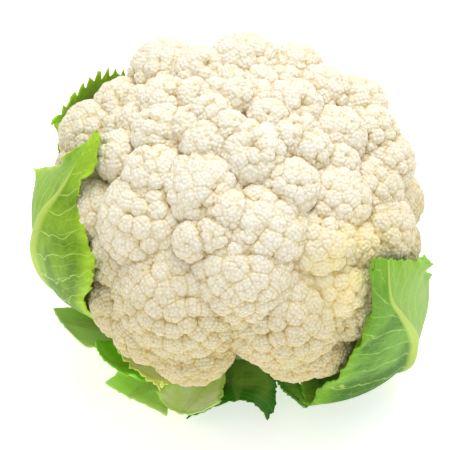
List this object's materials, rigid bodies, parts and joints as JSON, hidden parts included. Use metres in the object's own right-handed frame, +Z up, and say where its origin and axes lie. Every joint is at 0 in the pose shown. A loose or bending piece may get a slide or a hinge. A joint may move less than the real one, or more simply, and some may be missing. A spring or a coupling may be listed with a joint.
{
  "type": "cauliflower",
  "caption": "Trimmed cauliflower head: a lumpy ivory curd on its cut stem, wrapped low down by cropped green leaves.",
  "frame": {"origin": "middle of the cut face of the stem, on the surface that the head stands on", "axes": "+Z up through the middle of the head; -Y towards the side with the deep notch between the two lowest florets; the tallest leaf is at -X"},
  "size_m": [0.1794, 0.1705, 0.1502],
  "materials": {
    "curd": "soft matt ivory with fine granules, yellower in the creases",
    "stem": "pale green-white rind with a moist, fibrous cut face",
    "leaf": "waxy yellow-green to blue-green blade with pale ribs and veins",
    "leaf_vivid": "bright saturated green blade, slightly glossy",
    "leaf_pale": "pale yellow-green inner leaf, satin",
    "leaf_dark": "deep green outer leaf, satin"
  },
  "bodies": {
    "root": {"curd": "curd", "stem": "stem", "leaf_left": "leaf", "leaf_back_left": "leaf", "leaf_right": "leaf", "leaf_stub_left": "leaf", "leaf_front_left": "leaf_vivid", "leaf_front_inner": "leaf_pale", "leaf_front_outer": "leaf", "leaf_front_low": "leaf_pale", "leaf_front": "leaf_dark", "leaf_front_scrap": "leaf_dark", "leaf_right_back": "leaf", "leaf_back_right": "leaf", "leaf_back": "leaf"}
  },
  "joints": []
}
